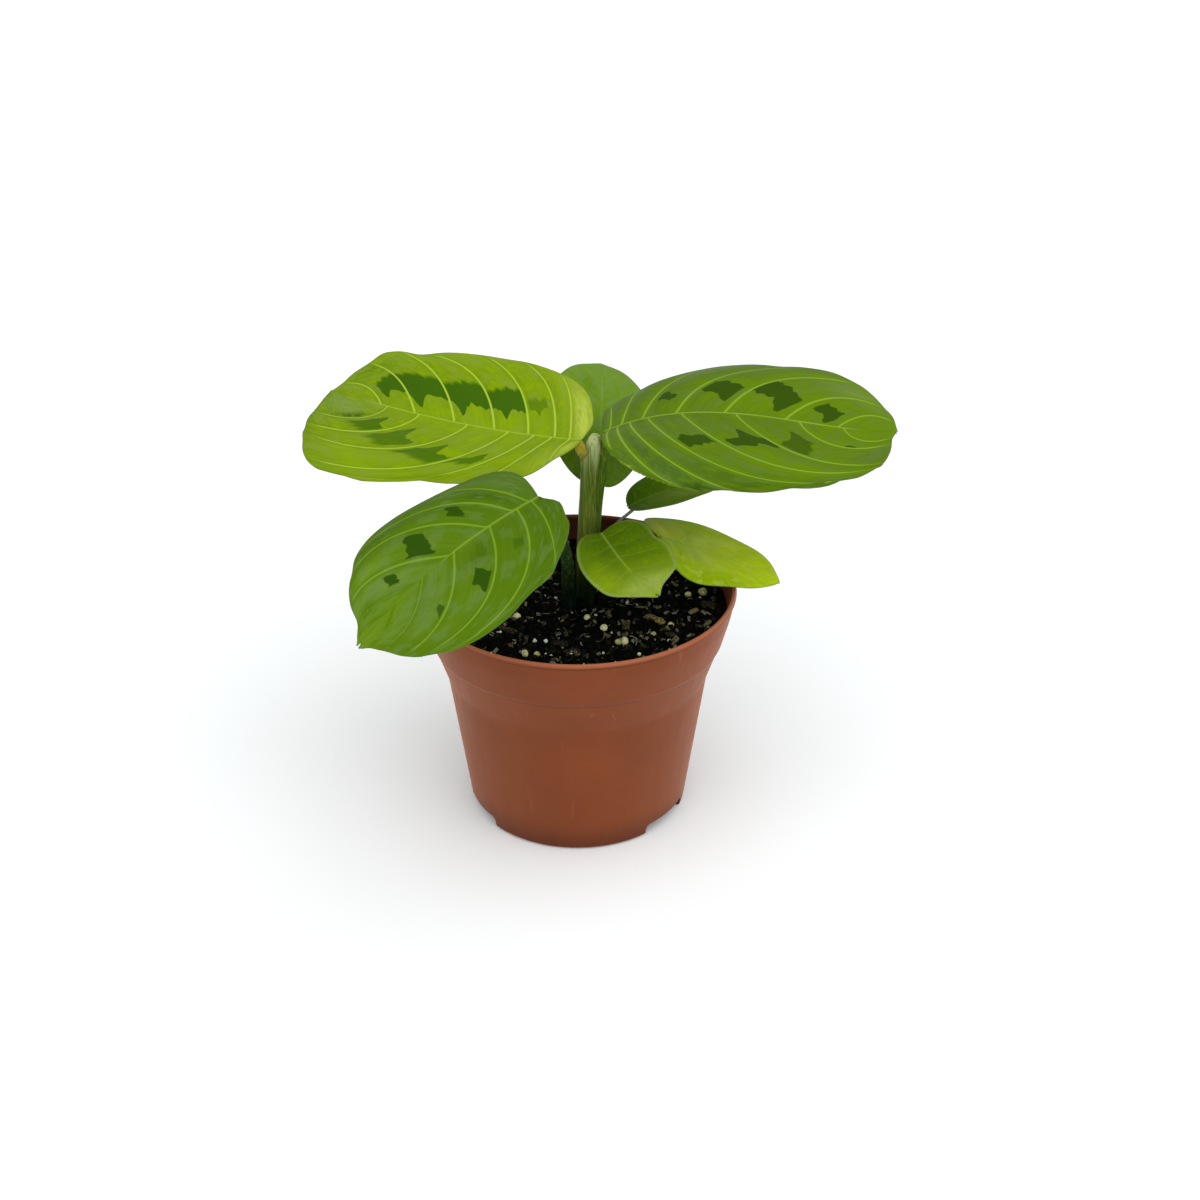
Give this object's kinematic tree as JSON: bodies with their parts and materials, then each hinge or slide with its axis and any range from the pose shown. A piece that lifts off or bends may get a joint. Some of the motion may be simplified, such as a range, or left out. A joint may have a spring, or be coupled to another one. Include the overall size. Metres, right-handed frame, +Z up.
{
  "type": "potted prayer plant",
  "caption": "Prayer plant (Maranta) with broad patterned leaves on short stalks, in soil in a round terracotta-coloured plastic nursery pot; stands on its flat foot.",
  "frame": {"origin": "middle of the pot's foot, on the surface it stands on", "axes": "+Z up along the pot's axis; -Y towards the viewer of the front; +X to the viewer's right"},
  "size_m": [0.2246, 0.1789, 0.1649],
  "materials": {
    "pot": "terracotta-coloured moulded polypropylene, satin",
    "soil": "moist dark peat with bark, perlite and fertiliser grains",
    "main_shoot": "smooth pale green leaf sheath, satin",
    "stalk_front_left": "smooth dark green leaf stalk, satin",
    "stalk_front": "smooth green leaf stalk, satin",
    "stalk_front_right": "smooth green leaf stalk, satin",
    "stalk_back": "smooth green leaf stalk, satin",
    "stalk_back_right": "thin grey-green leaf stalk, satin",
    "leaf_left": "lime green leaf with dark blotches, soft gloss",
    "leaf_right": "green leaf with dark blotches, soft gloss",
    "leaf_front_left": "green leaf with dark blotches, soft gloss",
    "leaf_front": "young green leaf, soft gloss",
    "leaf_front_right": "young yellow-green leaf, soft gloss",
    "leaf_back": "young green leaf, soft gloss",
    "leaf_back_right": "young dark green leaf, soft gloss"
  },
  "bodies": {
    "root": {"pot": "pot", "soil": "soil", "main_shoot": "main_shoot", "stalk_front_left": "stalk_front_left", "stalk_front": "stalk_front", "stalk_front_right": "stalk_front_right", "stalk_back": "stalk_back", "stalk_back_right": "stalk_back_right", "leaf_left": "leaf_left", "leaf_right": "leaf_right", "leaf_front_left": "leaf_front_left", "leaf_front": "leaf_front", "leaf_front_right": "leaf_front_right", "leaf_back": "leaf_back", "leaf_back_right": "leaf_back_right"}
  },
  "joints": []
}
